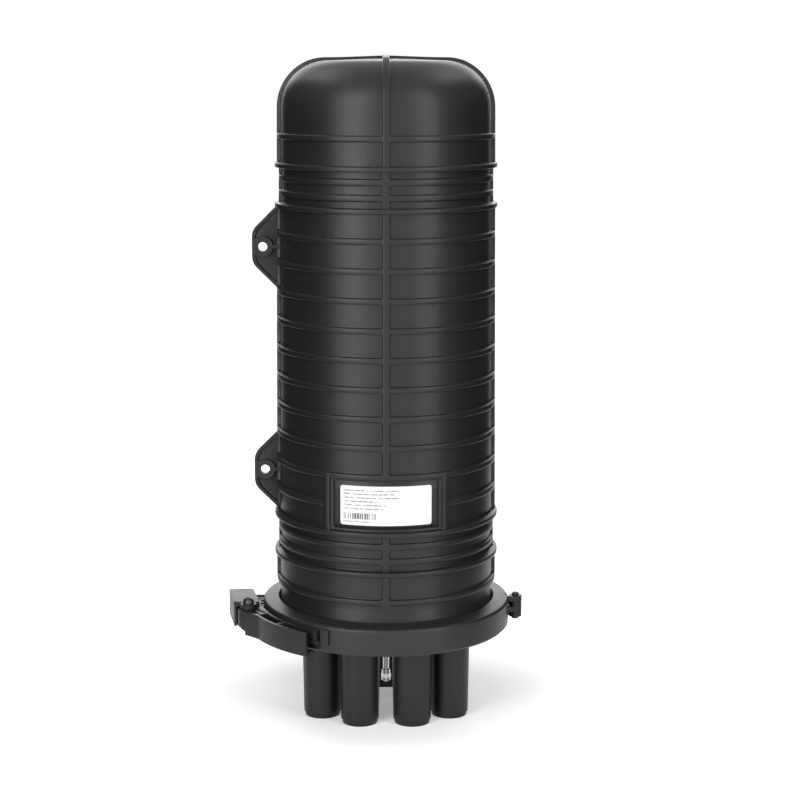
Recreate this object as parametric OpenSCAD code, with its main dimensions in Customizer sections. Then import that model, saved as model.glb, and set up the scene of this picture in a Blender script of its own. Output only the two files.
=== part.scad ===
// Dome splice closure for optical cables: an upright ribbed dome over a base with five
// closed cable ports, held together by a hinged clamp ring with a lever latch.
// The origin lies on the dome's axis, level with the ends of the ports. +Z points up.

/* [Dome] */
// Radius of the dome wall at the joint with the base
dome_r = 99.7; // [96:0.1:110]
// Wall thickness of the dome
dome_wall = 4.5; // [3:0.1:6]
// Inward slope of the wall for each millimetre of height
draft = 0.009; // [0:0.001:0.015]
// Height of the joint between dome and base above the port ends
joint_z = 91; // [85:1:120]
// Height from the rib nearest the crown to the top of the dome
crown_h = 72; // [64:1:100]
// Radius of the shoulder between wall and crown
shoulder_r = 42; // [25:1:48]
// Rise of the crown from the shoulder to the axis
crown_rise = 2; // [0.5:0.5:6]

/* [Ribs] */
// Number of plain rib rows between the two banded zones
rib_rows = 10; // [6:1:14]
// Spacing of the plain rib rows
rib_pitch = 26; // [22:0.5:32]
// Height of a banded zone, between its two tall ribs
zone_h = 36; // [30:1:44]
// Height of the lowest rib above the joint
first_rib_up = 33; // [28:1:45]
// Width of a plain rib
rib_w = 5; // [3:0.1:7]
// How far a plain rib stands out
rib_out = 3.1; // [2:0.1:4]
// Width of a tall rib
tall_w = 4.4; // [3:0.1:6]
// How far a tall rib stands out
tall_out = 5.1; // [4.2:0.1:7]
// Width of a flat band in a banded zone
band_w = 5.6; // [4:0.1:7]
// How far a flat band stands out
band_out = 1.5; // [0.8:0.1:2]
// Distance of a flat band from the middle of its zone
band_off = 6.8; // [5:0.1:8]
// How far the wall steps in between the tall ribs of a banded zone
zone_in = 1.2; // [0.5:0.1:2]
// Width of an upright rib
upright_w = 6.3; // [4:0.1:9]
// How far an upright rib stands out
upright_out = 3.3; // [2:0.1:4]

/* [Hanging ears] */
// Distance of the ear holes from the dome wall
ear_out = 13.1; // [11:0.1:20]
// Radius of an ear hole
ear_hole_r = 4.25; // [2.5:0.05:5]
// Radius of the boss round an ear hole
ear_boss_r = 9.8; // [8:0.1:12]
// Thickness of the ear's rim and boss
ear_t = 7; // [5:0.5:10]
// Thickness of the ear's web
ear_web_t = 3; // [1.5:0.5:4]
// Width of the ear's rim
ear_rim_w = 3.3; // [2:0.1:5]

/* [Label] */
// Length of the label round the dome
label_w = 81; // [50:1:90]
// Height of the label
label_h = 35.6; // [20:0.2:40]
// Thickness of the label
label_t = 0.4; // [0.2:0.1:1]
// Outside width of the frame round the label
frame_w = 108; // [98:1:125]
// Width of the frame's upright sides
frame_side_w = 4.9; // [3:0.1:7]

/* [Base] */
// How far the wedge flanges of dome and base stand out from the dome wall
flange_out = 9.8; // [8:0.1:16]
// Thickness of a wedge flange at its rim
flange_t = 6.5; // [5:0.1:8]
// Thickness of the base plate
plate_t = 4; // [3:0.5:6]
// Depth of the base plate's underside below the joint
plate_down = 11; // [9:0.5:14]
// Height of the spigot that centres the dome
spigot_h = 6; // [3:0.5:12]
// Section diameter of the sealing ring
seal_d = 4; // [2.5:0.1:5]

/* [Ports] */
// Radius of a round port at its closed end
port_r = 17.4; // [12:0.1:18.5]
// Growth of a round port's radius from its end to the base
port_flare = 1.2; // [0:0.1:1.5]
// Wall thickness of the ports
port_wall = 2.6; // [2:0.1:4]
// Height of the stepped nose at the end of a port
port_nose_h = 3.6; // [2:0.1:6]
// Depth of the step at the end of a port
port_step = 1.2; // [0.5:0.1:2]
// Width of the oval port
oval_w = 84; // [60:1:90]
// Depth of the oval port
oval_d = 50; // [36:1:54]
// Distance of the oval port's middle from the axis
oval_y = 57; // [50:0.5:58]

/* [Clamp ring] */
// Thickness of the clamp ring's outer wall
ring_wall = 5.3; // [4:0.1:9]
// Height of the clamp ring's outer wall
ring_h = 25.3; // [23:0.1:30]
// Depth of the clamp ring's underside below the joint
ring_down = 13; // [12:0.1:16]
// Gap between the clamp ring and the flanges
ring_gap = 0.4; // [0.2:0.1:0.8]
// Gap between the two halves of the clamp ring
seam = 0.4; // [0.2:0.1:1]
// Distance of the hinge pin from the outside of the clamp ring
hinge_out = 7; // [6.5:0.1:12]
// Radius of the hinge barrel
barrel_r = 6; // [5:0.1:6.4]
// Radius of the hinge pin
hinge_pin_r = 2.2; // [1.5:0.1:3]

/* [Latch] */
// Gap between the clamp ring and the lever's inner wall
lever_gap = 1.5; // [1:0.1:2.5]
// Depth of the lever from its inner to its outer wall
lever_depth = 13.5; // [10:0.1:17]
// Height of the lever
lever_h = 22; // [18:0.5:24]
// Thickness of the lever's walls
lever_wall = 2.4; // [1.6:0.1:3]
// Thickness of the link's top plate
link_top_t = 4.5; // [3:0.1:6]
// Thickness of the link's bottom plate
link_floor_t = 3.5; // [2:0.1:4]
// Radius of the pins in the latch
latch_pin_r = 2.5; // [2:0.1:3]

/* [Earth stud] */
// Radius of the earth stud
stud_r = 2.9; // [2:0.1:4]
// Distance of the earth stud in front of the axis
stud_y = 15; // [5:1:20]
// Height of the earth stud's tip above the port ends
stud_tip_z = 22; // [10:1:40]

/* [Trays] */
// Width of a splice tray
tray_w = 128; // [90:1:130]
// Height of a splice tray
tray_h = 300; // [200:5:340]
// Thickness of a splice tray
tray_t = 8; // [5:0.5:8.2]
// Spacing of the splice trays
tray_pitch = 9; // [8.5:0.1:9.2]
// Thickness of the bracket's sheet steel
sheet_t = 1.5; // [1:0.1:2.5]

/* [Hidden] */
$fn = 96;

black_plastic = [0.11, 0.11, 0.12];
grey_plastic = [0.72, 0.74, 0.76];
steel = [0.78, 0.78, 0.8];
rubber = [0.16, 0.16, 0.17];

fit = 0.2;         // running clearance of pins and screws in their holes
slack = 0.4;       // clearance between pieces that pass each other
edge = 0.5;        // chamfer on rib edges
eps = 0.01;        // overlap that keeps cuts clean

// ---- Heights of the rib rows ------------------------------------------------------
first_rib_z = joint_z + first_rib_up;
low_zone_z = first_rib_z + rib_pitch;
low_zone_top_z = low_zone_z + zone_h;
high_zone_z = low_zone_top_z + (rib_rows + 1) * rib_pitch;
high_zone_top_z = high_zone_z + zone_h;
last_rib_z = high_zone_top_z + rib_pitch;
dome_top_z = last_rib_z + crown_h;
shell_top_z = dome_top_z - upright_out;
shoulder_z = shell_top_z - crown_rise - shoulder_r;
frame_top_z = low_zone_top_z + 2 * rib_pitch;
neck_top_z = first_rib_z - rib_w / 2;
neck_in = 1.7;

// ---- Radii about the axis ------------------------------------------------------------
rim_gap = 0.7;     // gap between the flanges' rims and the clamp ring
flange_r = dome_r + flange_out;
ring_in_r = flange_r + rim_gap;
ring_r = ring_in_r + ring_wall;
ear_x = dome_r + ear_out;
hinge_x = ring_r + hinge_out;
lever_in_r = ring_r + lever_gap;
lever_out_r = lever_in_r + lever_depth;

// Outer radius of the plain wall at height z
function wall_r(z) = dome_r - draft * (z - joint_z);

// Profile of one rib: centre height, width, how far it stands out, and how far the wall
// is set back below and above it
function rib(z, w, out, in_low = 0, in_high = 0) = [
    [wall_r(z - w / 2) - in_low, z - w / 2],
    [wall_r(z) + out - edge / 2, z - w / 2 + edge / 2],
    [wall_r(z) + out, z - w / 2 + edge],
    [wall_r(z) + out, z + w / 2 - edge],
    [wall_r(z) + out - edge / 2, z + w / 2 - edge / 2],
    [wall_r(z + w / 2) - in_high, z + w / 2]];

// Profile of a banded zone that starts with a tall rib at height z
function banded_zone(z) = concat(
    rib(z, tall_w, tall_out, 0, zone_in),
    rib(z + zone_h / 2 - band_off, band_w, band_out, zone_in, zone_in),
    rib(z + zone_h / 2 + band_off, band_w, band_out, zone_in, zone_in),
    rib(z + zone_h, tall_w, tall_out, zone_in, 0));

// Points of an arc about (x, y) from angle a to angle b
function arc(x, y, r, a, b, n = 12) =
    [for (i = [0 : n]) [x + r * cos(a + (b - a) * i / n), y + r * sin(a + (b - a) * i / n)]];

// The same polygon with its corners rounded; each corner's curve starts cut[i] before it
function rounded(points, cut, n = 4) = [
    for (i = [0 : len(points) - 1])
        let (p = points[i],
             q = points[(i + len(points) - 1) % len(points)],
             s = points[(i + 1) % len(points)],
             u = (q - p) / norm(q - p),
             v = (s - p) / norm(s - p),
             t = is_list(cut) ? cut[i] : cut)
        for (k = [0 : (t > 0 ? n : 0)])
            p + t * (u * pow(1 - k / n, 2) + v * pow(k / n, 2))];

// Shoulder and crown of a shell set in by d from the outer surface
function crown(d) = let (
        r = shoulder_r - d,
        x = wall_r(shoulder_z) - shoulder_r)
    concat(arc(x, shoulder_z, r, 0, 90, 14), [[0, shell_top_z - d]]);

wedge_slope = 0.28;
flange_top_z = joint_z + flange_t;
neck_r = wall_r(joint_z) - 0.4;

module dome_shell_profile() {
    polygon(concat(
        [[0, joint_z], [flange_r, joint_z], [flange_r, flange_top_z],
            [neck_r, flange_top_z + wedge_slope * (flange_r - neck_r)],
            [neck_r, joint_z + 14], [wall_r(neck_top_z) - neck_in, joint_z + 23]],
        rib(first_rib_z, rib_w, rib_out, neck_in, 0),
        banded_zone(low_zone_z),
        [for (k = [1 : rib_rows]) each rib(low_zone_top_z + k * rib_pitch, rib_w, rib_out)],
        banded_zone(high_zone_z),
        rib(last_rib_z, rib_w, rib_out),
        crown(0)));
}

module dome_cavity_profile() {
    polygon(concat(
        [[0, joint_z - eps], [wall_r(joint_z) - dome_wall, joint_z - eps]],
        crown(dome_wall)));
}

// The surface that the upright ribs reach; it steps in over the banded zones
module upright_profile() {
    polygon(concat(
        [[0, first_rib_z], [wall_r(first_rib_z) + upright_out, first_rib_z]],
        [for (z = [low_zone_z, high_zone_z]) each [
            [wall_r(z) + upright_out, z], [wall_r(z) + band_out, z],
            [wall_r(z + zone_h) + band_out, z + zone_h],
            [wall_r(z + zone_h) + upright_out, z + zone_h]]],
        crown(-upright_out)));
}

// Four upright ribs that meet in a cross on the crown; the front one stops at the label
module upright_ribs() {
    intersection() {
        rotate_extrude() upright_profile();
        difference() {
            union() {
                translate([-2 * dome_r, -upright_w / 2, 0])
                    cube([4 * dome_r, upright_w, 2 * dome_top_z]);
                translate([-upright_w / 2, -2 * dome_r, 0])
                    cube([upright_w, 4 * dome_r, 2 * dome_top_z]);
            }
            translate([-upright_w, -2 * dome_r, low_zone_top_z])
                cube([2 * upright_w, 2 * dome_r, frame_top_z - low_zone_top_z]);
        }
    }
}

// The two upright sides of the frame round the label
module label_frame() {
    intersection() {
        rotate_extrude() upright_profile();
        for (side = [-1, 1])
            translate([side * (frame_w - frame_side_w) / 2 - frame_side_w / 2,
                    -2 * dome_r, low_zone_top_z])
                cube([frame_side_w, 2 * dome_r, frame_top_z - low_zone_top_z]);
    }
}

// What is cut from the rib row behind the label, down to the plain wall
module label_window() {
    low = low_zone_top_z + tall_w / 2;
    high = frame_top_z - rib_w / 2;
    intersection() {
        rotate_extrude() polygon([[wall_r(low), low], [wall_r(low) + 2 * tall_out, low],
            [wall_r(low) + 2 * tall_out, high], [wall_r(high), high]]);
        translate([-frame_w / 2 + frame_side_w / 2, -2 * dome_r, low])
            cube([frame_w - frame_side_w, 2 * dome_r, high - low]);
    }
}

// ---- Hanging ears ------------------------------------------------------------------
ear_half_h = 1.5 * rib_pitch;
ear_spacing = 8 * rib_pitch;
low_ear_z = low_zone_top_z + 1.5 * rib_pitch;
ear_edge_h = 15;
ear_round = 6;

// Outline of an ear about its hole, set in by d; x grows away from the dome
function ear_outline(d) = let (foot = wall_r(low_ear_z) - ear_x, root = foot - dome_wall / 2)
    rounded([[root, 1.4 * d - ear_half_h], [foot, 1.4 * d - ear_half_h],
        [ear_boss_r - d, 0.4 * d - ear_edge_h], [ear_boss_r - d, ear_edge_h - 0.4 * d],
        [foot, ear_half_h - 1.4 * d], [root, ear_half_h - 1.4 * d]],
        [0, 0, ear_round, ear_round, 0, 0]);

module ear(z) {
    translate([-ear_x, ear_t / 2, z]) rotate([90, 0, 0]) mirror([1, 0, 0]) {
        difference() {
            linear_extrude(ear_t) polygon(ear_outline(0));
            for (side = [0, 1])
                translate([0, 0, side == 0 ? -eps : (ear_t + ear_web_t) / 2])
                    linear_extrude((ear_t - ear_web_t) / 2 + eps) difference() {
                        polygon(ear_outline(ear_rim_w));
                        circle(ear_boss_r);
                        translate([-3 * ear_boss_r, -ear_rim_w / 2])
                            square([3 * ear_boss_r, ear_rim_w]);
                    }
            translate([0, 0, -eps]) cylinder(r = ear_hole_r, h = ear_t + 2 * eps);
        }
    }
}

module dome() {
    color(black_plastic) difference() {
        union() {
            difference() {
                rotate_extrude() dome_shell_profile();
                label_window();
            }
            upright_ribs();
            label_frame();
            for (k = [0, 1]) ear(low_ear_z + k * ear_spacing);
        }
        rotate_extrude() dome_cavity_profile();
    }
}

// ---- Label ---------------------------------------------------------------------------
label_z = (low_zone_top_z + frame_top_z) / 2;
label_gap = 0.05;

// The strip of the frame between its upper and lower rib that holds the label
module label() {
    row_z = label_z - label_h / 2;
    color("white") intersection() {
        rotate_extrude() polygon([
            [wall_r(row_z) + label_gap, row_z],
            [wall_r(row_z) + label_gap + label_t, row_z],
            [wall_r(row_z + label_h) + label_gap + label_t, row_z + label_h],
            [wall_r(row_z + label_h) + label_gap, row_z + label_h]]);
        translate([0, 0, row_z]) rotate([90, 0, 0]) linear_extrude(2 * dome_r)
            polygon(rounded([[-label_w / 2, 0], [label_w / 2, 0],
                [label_w / 2, label_h], [-label_w / 2, label_h]], 2.5));
    }
}

// ---- Base ----------------------------------------------------------------------------
plate_z = joint_z - plate_down;
plate_top_z = plate_z + plate_t;
flange_low_z = joint_z - flange_t;
ring_z = joint_z - ring_down;
lip_gap = 1.3;
lip_high_r = neck_r + lip_gap;
lip_low_r = lip_high_r + 1;
base_r = lip_low_r - lip_gap + 0.1;
spigot_r = wall_r(joint_z) - dome_wall - slack;
spigot_wall = 3;
seal_r = (flange_r + wall_r(joint_z) - dome_wall) / 2 + 1;
seal_groove_w = seal_d + 0.6;

// Middles of the round ports: two in front and one at each side
port_places = [[-24, -62], [24, -62], [-59, -40], [59, -40]];

module port_outside(top_z) {
    cylinder(r = port_r - port_step, h = port_nose_h + eps);
    translate([0, 0, port_nose_h])
        cylinder(r1 = port_r, r2 = port_r + port_flare, h = top_z - port_nose_h);
}

// A stadium outline, set in by d
module oval(d) {
    r = oval_d / 2 - d;
    for (side = [-1, 1])
        translate([side * (oval_w - oval_d) / 2, 0]) circle(r);
    square([oval_w - oval_d, 2 * r], center = true);
}

module base_profile() {
    polygon([[0, plate_z], [base_r, plate_z],
        [base_r, flange_low_z - wedge_slope * (flange_r - base_r)],
        [flange_r, flange_low_z], [flange_r, joint_z],
        [spigot_r, joint_z], [spigot_r, joint_z + spigot_h],
        [spigot_r - spigot_wall, joint_z + spigot_h],
        [spigot_r - spigot_wall, plate_top_z], [0, plate_top_z]]);
}

module base() {
    color(black_plastic) difference() {
        union() {
            rotate_extrude() base_profile();
            for (p = port_places) translate(p) port_outside(plate_z + eps);
            translate([0, oval_y, 0]) {
                linear_extrude(port_nose_h + eps) oval(port_step);
                translate([0, 0, port_nose_h])
                    linear_extrude(plate_z - port_nose_h + eps) oval(0);
            }
        }
        for (p = port_places) translate([p[0], p[1], port_wall])
            cylinder(r = port_r - port_step - port_wall, h = plate_top_z);
        translate([0, oval_y, port_wall])
            linear_extrude(plate_top_z) oval(port_step + port_wall);
        translate([0, -stud_y, plate_z - eps])
            cylinder(r = stud_r + fit, h = plate_t + 2 * eps);
        for (p = screw_places) translate([p[0], p[1], plate_z + 1])
            cylinder(r = screw_r + fit / 2, h = plate_t);
        seal_groove();
    }
}

module seal_groove() {
    rotate_extrude() translate([seal_r - seal_groove_w / 2, joint_z - seal_d - 0.05])
        square([seal_groove_w, seal_d + 1]);
}

module seal_ring() {
    color(rubber) translate([0, 0, joint_z - seal_d / 2 - 0.025])
        rotate_extrude() translate([seal_r, 0]) circle(seal_d / 2, $fn = 32);
}

// ---- Clamp ring ------------------------------------------------------------------------
ring_top_z = ring_z + ring_h;
ring_rise = 1.9;
barrel_low_z = ring_z + 4.5;
barrel_high_z = ring_top_z - 0.3;
knuckles = 4;
knuckle_h = (barrel_high_z - barrel_low_z) / knuckles;

module ring_profile() {
    groove_low = flange_low_z - ring_gap;
    groove_high = flange_top_z + ring_gap;
    polygon(concat(
        [[lip_low_r, ring_z], [ring_r - 2, ring_z], [ring_r, ring_z + 2]],
        arc(ring_r - 3, ring_top_z - 3, 3, 0, 80, 5),
        [[lip_high_r + 1, ring_top_z + ring_rise], [lip_high_r, ring_top_z + ring_rise - 1],
            [lip_high_r, groove_high + wedge_slope * (ring_in_r - lip_high_r)],
            [ring_in_r, groove_high], [ring_in_r, groove_low],
            [lip_low_r, groove_low - wedge_slope * (ring_in_r - lip_low_r)]]));
}

// Half of the ring: side is -1 for the front half and 1 for the rear half
module ring_half(side) {
    intersection() {
        rotate_extrude() ring_profile();
        translate([-2 * ring_r, side > 0 ? seam / 2 : -2 * ring_r - seam / 2, ring_z - 1])
            cube([4 * ring_r, 2 * ring_r, 2 * ring_h]);
    }
}

// Hinge knuckles of one half, each with the arm that joins it to the ring
module hinge_knuckles(side) {
    first = side > 0 ? 0 : 1;
    for (k = [first : 2 : knuckles - 1])
        translate([0, 0, barrel_low_z + k * knuckle_h + fit / 2]) {
            translate([hinge_x, 0, 0]) cylinder(r = barrel_r, h = knuckle_h - fit);
            translate([ring_r - 4, side > 0 ? seam / 2 : -barrel_r, 0])
                cube([hinge_x - ring_r + 4, barrel_r - seam / 2, knuckle_h - fit]);
        }
}

module hinge_bore() {
    translate([hinge_x, 0, barrel_low_z - 1])
        cylinder(r = hinge_pin_r + fit, h = barrel_high_z - barrel_low_z + 2);
}

// The small open notch at the outer end of the seam beside the hinge
module seam_notch() {
    translate([ring_r - 3, -2, ring_top_z - 4]) cube([4, 4, 6]);
}

module hinge_pin() {
    color(steel) translate([hinge_x, 0, 0]) {
        translate([0, 0, barrel_low_z - 1])
            cylinder(r = hinge_pin_r, h = barrel_high_z - barrel_low_z + 1 + fit);
        translate([0, 0, barrel_high_z])
            rotate_extrude() polygon([[0, 0], [3.2, 0], [3.2, 1.8], [2.4, 2.8], [0, 2.8]]);
        translate([0, 0, barrel_low_z - 2.2]) cylinder(r = 3.2, h = 2.2 - fit / 2);
    }
}

// ---- Latch -----------------------------------------------------------------------------
// The link swings on the rear half about link_at; the lever turns on the link about
// lever_at, and its nose bears on the last web of the front half's lug.
link_at = [-ring_r - 21.5, 8];
lever_at = [-ring_r - 12.3, -33];
hub_r = 7;
lever_hub_r = 9.8;
lever_z = ring_z - 1;
lever_top_z = lever_z + lever_h;
link_z = ring_z + 2;
link_top_z = ring_top_z + 0.7;
link_under_z = link_top_z - link_top_t;
lug_z = link_z + link_floor_t + slack;
lug_top_z = link_under_z - slack;
lever_end_a = 236.7;
ledge_z = ring_z + 8;
tab_a = 240;
finger_z = ledge_z + 3.5 + slack;
nose_gap = 0.3;
web_t = 3;
lug_web_y = -22.5;

module rear_lug() {
    arm_w = 2 * hub_r - 1;
    translate([0, 0, lug_z]) {
        translate([link_at[0], link_at[1], 0]) cylinder(r = hub_r, h = lug_top_z - lug_z);
        for (y = [link_at[1] - arm_w / 2, link_at[1] + arm_w / 2 - web_t])
            translate([link_at[0], y, 0]) cube([ring_end_x(y) - link_at[0], web_t,
                lug_top_z - lug_z]);
        translate([link_at[0], link_at[1] - arm_w / 2, 0])
            cube([ring_end_x(link_at[1]) - link_at[0], arm_w, web_t]);
    }
}

// X of a point just inside the ring's outer wall, at the left, for a given Y
function ring_end_x(y) = -sqrt(pow(ring_r - 1.5, 2) - y * y);

// Ribbed lug of the front half; the lever's nose pushes on its front web
module front_lug() {
    out_x = lever_at[0] + 8.3;
    cut = 3.2;
    start_y = -1;
    in_x = ring_end_x(lug_web_y);
    pocket_h = (start_y - lug_web_y - 3 * web_t) / 2;
    translate([0, 0, lug_z]) difference() {
        linear_extrude(lug_top_z - lug_z) polygon([[in_x, start_y], [out_x, start_y],
            [out_x, lug_web_y + cut], [out_x + cut, lug_web_y], [in_x, lug_web_y]]);
        for (k = [0, 1])
            translate([out_x + web_t / 2, lug_web_y + web_t + k * (pocket_h + web_t), web_t])
                cube([in_x - out_x, pocket_h, ring_h]);
    }
}

// Tab on the front half with a ledge under the tip of the lever's finger
module lock_tab() {
    translate([0, 0, ledge_z]) sector(ring_r - 2, ring_r + 5, 233, 240, 3.5);
    translate([0, 0, ledge_z]) sector(ring_r - 2, ring_r + 2.4, tab_a, tab_a + 4, 14);
}

// Part of a ring between two radii and two angles
module sector(r_in, r_out, a, b, h) {
    rotate([0, 0, a]) rotate_extrude(angle = b - a)
        translate([r_in, 0]) square([r_out - r_in, h]);
}

module clamp_rear() {
    color(black_plastic) difference() {
        union() {
            ring_half(1);
            hinge_knuckles(1);
            rear_lug();
        }
        hinge_bore();
        seam_notch();
        translate([link_at[0], link_at[1], lug_z - 1])
            cylinder(r = latch_pin_r + fit, h = ring_h);
    }
}

module clamp_front() {
    color(black_plastic) difference() {
        union() {
            ring_half(-1);
            hinge_knuckles(-1);
            front_lug();
            lock_tab();
        }
        hinge_bore();
        seam_notch();
    }
}

// Plan of the link's plates: a block with rounded corners and an ear at the lever
module link_plan() {
    polygon(rounded([link_at + [-12.7, 8], link_at + [10, 10], lever_at + [10, 5.5],
        lever_at + [-14, 5.5]], 2.5));
    translate(lever_at) circle(hub_r + 0.4);
    translate(link_at) circle(hub_r + 0.4);
}

module link_plan_low() {
    polygon([link_wall[0], link_at + [0, hub_r + 0.4], link_at + [hub_r + 0.4, 0],
        lever_at + [hub_r + 0.4, 0], lever_at - [hub_r + 0.4, 0], link_wall[3] + [2, 4],
        link_wall[3] + [-0.7, 4]]);
    translate(lever_at) circle(hub_r + 0.4);
    translate(link_at) circle(hub_r + 0.4);
}

// Plan of the link's outer wall
link_wall = [link_at + [-12.6, 7], link_at + [-10.2, 7], lever_at + [-11.8, 6.5],
    lever_at + [-13.9, 6.5]];

module latch_link() {
    color(black_plastic) difference() {
        union() {
            translate([0, 0, link_under_z]) linear_extrude(link_top_t) link_plan();
            translate([0, 0, link_z]) linear_extrude(link_floor_t) link_plan_low();
            translate([0, 0, link_z]) linear_extrude(link_top_z - link_z - 1)
                polygon(link_wall);
        }
        for (p = [link_at, lever_at]) translate([p[0], p[1], link_z - 1])
            cylinder(r = latch_pin_r + fit, h = ring_h + 5);
    }
}

function polar(r, a) = [r * cos(a), r * sin(a)];
cross_a = [203.4, 219.5];
cross_half_a = 0.5;
lever_bend_a = 206;
nose_at = [-ring_r - 0.5, lug_web_y - nose_gap];

module sector_2d(r_in, r_out, a, b, n = 24) {
    polygon(concat(arc(0, 0, r_in, a, b, n), arc(0, 0, r_out, b, a, n)));
}

// Outline of the lever: a curved body along the ring, a round hub and the nose
module lever_plan() {
    sector_2d(lever_in_r, lever_out_r, lever_end_a, lever_bend_a);
    polygon([polar(lever_in_r, lever_bend_a), polar(lever_out_r, lever_bend_a),
        lever_at + lever_hub_r * [-0.76, -0.65], lever_at]);
    translate(lever_at) circle(lever_hub_r);
    polygon([lever_at, polar(lever_in_r, lever_bend_a), nose_at + [1.6, -6],
        nose_at + [1.6, -1.5], nose_at + [0.6, 0], nose_at + [-1.2, 0]]);
}

// The two pockets beside the hub, with the diagonal wall between them
module hub_pockets() {
    r_in = lever_in_r + lever_wall;
    r_out = lever_out_r - lever_wall;
    a = cross_a[0] - cross_half_a;
    wall_to = polar((r_in + r_out) / 2, a);
    difference() {
        polygon([polar(r_in, a), polar(r_out, a), lever_at + [-4, -8], lever_at + [6, -3],
            lever_at + [9.5, -1.5]]);
        translate(lever_at) circle(hub_r);
        polygon([lever_at, lever_at + [3, 1], wall_to + [1, 1], wall_to + [-1, -1]]);
    }
}

module latch_lever() {
    floor_t = 2.5;
    ear_room_z = link_z + link_floor_t + slack;
    r_in = lever_in_r + lever_wall;
    r_out = lever_out_r - lever_wall;
    color(black_plastic) {
        difference() {
            translate([0, 0, lever_z]) linear_extrude(lever_h) lever_plan();
            // open-topped pockets between the cross webs; the last one is open at its end
            translate([0, 0, lever_z + floor_t]) linear_extrude(lever_h) {
                sector_2d(r_in, r_out, cross_a[1] - cross_half_a, cross_a[0] + cross_half_a);
                sector_2d(lever_in_r - 1, r_out, lever_end_a + 1, cross_a[1] + cross_half_a);
            }
            translate([0, 0, ear_room_z + floor_t]) linear_extrude(lever_h) hub_pockets();
            // room for the link's lower ear under the hub
            translate([lever_at[0], lever_at[1], lever_z - 1])
                cylinder(r = lever_hub_r + 1.6, h = ear_room_z - lever_z + 1);
            translate([lever_at[0], lever_at[1], lever_z])
                cylinder(r = latch_pin_r + fit, h = lever_h + 1);
        }
        // springy finger that carries the inner wall on to the lock tab
        translate([0, 0, finger_z]) linear_extrude(lever_top_z - finger_z) {
            sector_2d(lever_in_r, r_in, tab_a - 1, cross_a[1]);
            sector_2d(lever_in_r, r_in + 1.6, tab_a - 1, tab_a - 3, 3);
        }
    }
}

// Pin through the link's two plates and the rear half's lug
module link_pin() {
    color(steel) translate([link_at[0], link_at[1], 0]) {
        translate([0, 0, link_z]) cylinder(r = latch_pin_r, h = link_top_z - link_z);
        translate([0, 0, link_z - 1.2]) cylinder(r = latch_pin_r + 1.5, h = 1.2);
    }
}

// Pan-head screw through the link's top plate and the lever's hub
module lever_screw() {
    color(steel) translate([lever_at[0], lever_at[1], 0]) difference() {
        union() {
            translate([0, 0, link_z - 3]) cylinder(r = latch_pin_r, h = link_top_z - link_z + 3);
            translate([0, 0, link_top_z]) rotate_extrude() polygon(concat(
                [[0, 0], [5.2, 0], [5.2, 0.8]], arc(0, 0.8, 5.2, 10, 60, 5),
                [[0, 5.6]]));
        }
        translate([0, 0, link_top_z + 3.4]) cylinder(r = 1.8, h = 4, $fn = 6);
    }
}

module lever_nut() {
    color(steel) translate([lever_at[0], lever_at[1], link_z - 2.6]) difference() {
        cylinder(r = 5, h = 2.6, $fn = 6);
        translate([0, 0, -1]) cylinder(r = latch_pin_r + fit / 2, h = 5);
    }
}

// ---- Earth stud ------------------------------------------------------------------------
cap_h = 9;
cap_flange_h = 4;

module earth_stud() {
    color(steel) translate([0, -stud_y, stud_tip_z + cap_h - 4])
        cylinder(r = stud_r, h = plate_top_z + 9 - stud_tip_z - cap_h + 4);
}

// Hexagon nut with a pointed cap on the end of the stud
module earth_cap_nut() {
    bore_r = stud_r + fit / 2;
    color(steel) translate([0, -stud_y, stud_tip_z]) difference() {
        union() {
            rotate_extrude() polygon([[0, 0], [1.2, 0.4], [4.6, 2.6], [4.6, 4.6], [0, 4.6]]);
            translate([0, 0, 4.6]) cylinder(r = 4.6, h = cap_h - 4.6, $fn = 6);
        }
        translate([0, 0, 4.5]) cylinder(r = bore_r, h = cap_h);
    }
}

module earth_washer() {
    color(steel) translate([0, -stud_y, stud_tip_z + cap_h]) difference() {
        cylinder(r = 4, h = cap_flange_h);
        translate([0, 0, -1]) cylinder(r = stud_r + fit / 2, h = cap_flange_h + 2);
    }
}

module earth_inner_nut() {
    bore_r = stud_r + fit / 2;
    color(steel) translate([0, -stud_y, 0]) difference() {
        union() {
            translate([0, 0, plate_top_z]) cylinder(r = 5.4, h = 5, $fn = 6);
            translate([0, 0, plate_z - 4]) cylinder(r = 5.4, h = 4, $fn = 6);
        }
        translate([0, 0, plate_z - 5]) cylinder(r = bore_r, h = plate_t + 12);
    }
}

// ---- Bracket and trays, inside the dome --------------------------------------------------
screw_r = 2;
screw_places = [[-46, 4], [-28, 4], [28, 4], [46, 4]];
bracket_w = 104;
bracket_y = 8;
foot_d = 14;
bracket_top_z = plate_top_z + 120 + tray_h;
tray_z = plate_top_z + 44;
carrier_h = 12;
tray_count = 6;
carrier_d = tray_count * tray_pitch + 4;
tray_axle_r = 2;

// Upright steel frame, bent forward into a foot at the base and open in the middle
module tray_bracket() {
    leg_w = 26;
    color(steel) difference() {
        union() {
            translate([-bracket_w / 2, bracket_y, plate_top_z])
                cube([bracket_w, sheet_t, bracket_top_z - plate_top_z]);
            translate([-bracket_w / 2, bracket_y + sheet_t - foot_d, plate_top_z])
                cube([bracket_w, foot_d, sheet_t]);
        }
        translate([-bracket_w / 2 + leg_w, bracket_y - foot_d, plate_top_z - 1])
            cube([bracket_w - 2 * leg_w, 2 * foot_d, tray_z - plate_top_z - 8]);
        for (z = [tray_z + 60 : 70 : bracket_top_z - 40]) translate([-20, bracket_y - 1, z])
            cube([40, sheet_t + 2, 30]);
        for (p = screw_places) translate([p[0], p[1], plate_top_z - 1])
            cylinder(r = screw_r + fit, h = sheet_t + 2);
    }
}

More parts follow.
